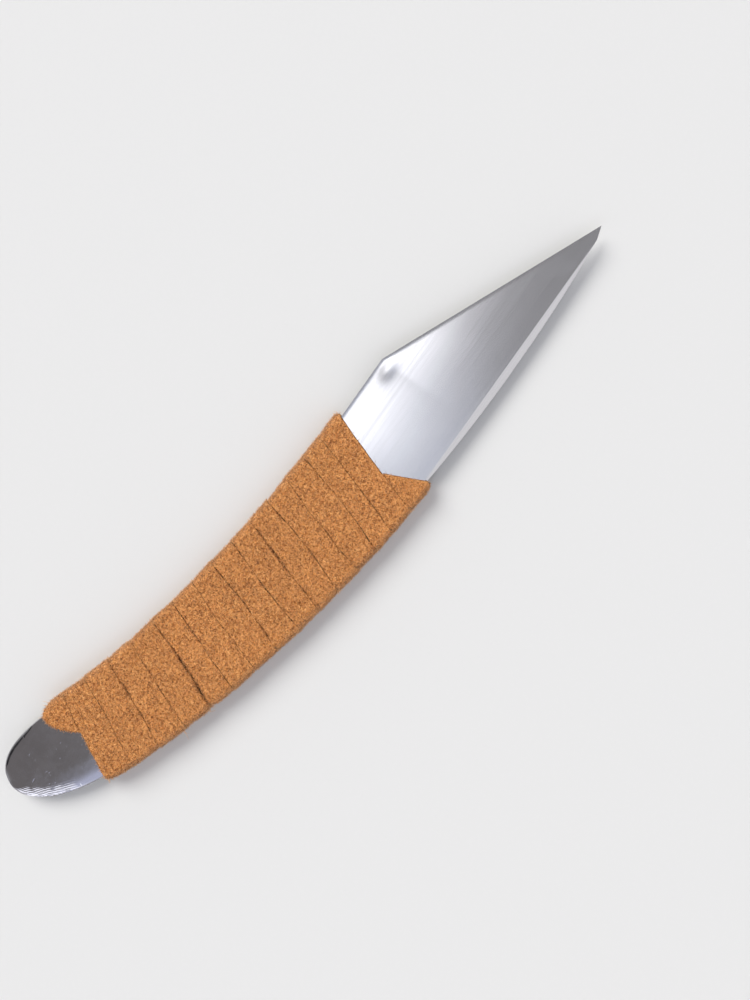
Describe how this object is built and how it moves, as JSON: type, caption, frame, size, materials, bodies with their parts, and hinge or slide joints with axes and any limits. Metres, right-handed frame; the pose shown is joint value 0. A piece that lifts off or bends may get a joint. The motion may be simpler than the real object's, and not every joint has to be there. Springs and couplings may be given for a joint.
{
  "type": "chip carving knife",
  "caption": "Curved carving knife with a straight slanted cutting edge, a hollow-ground flat face, a bare rounded butt and a grip wound in suede strip.",
  "frame": {"origin": "middle of the knife's box in plan, at the height of the flat underside of the wrap, which is the surface that the knife lies on", "axes": "+X along the blade's spine towards the tip, +Y towards the cutting edge, +Z out of the hollow-ground face"},
  "size_m": [0.192, 0.0464, 0.0059],
  "materials": {
    "soft_iron": "soft iron, polished on the butt and satin-ground on the blade's back and bevel",
    "hard_steel": "hard carbon steel, satin-ground lengthwise in the hollow and finely honed on its rims",
    "suede": "tan-orange suede split, rough nap outwards, raw cut edges"
  },
  "bodies": {
    "root": {"iron_body": "soft_iron", "hard_steel": "hard_steel", "leather_strip": "suede"}
  },
  "joints": []
}
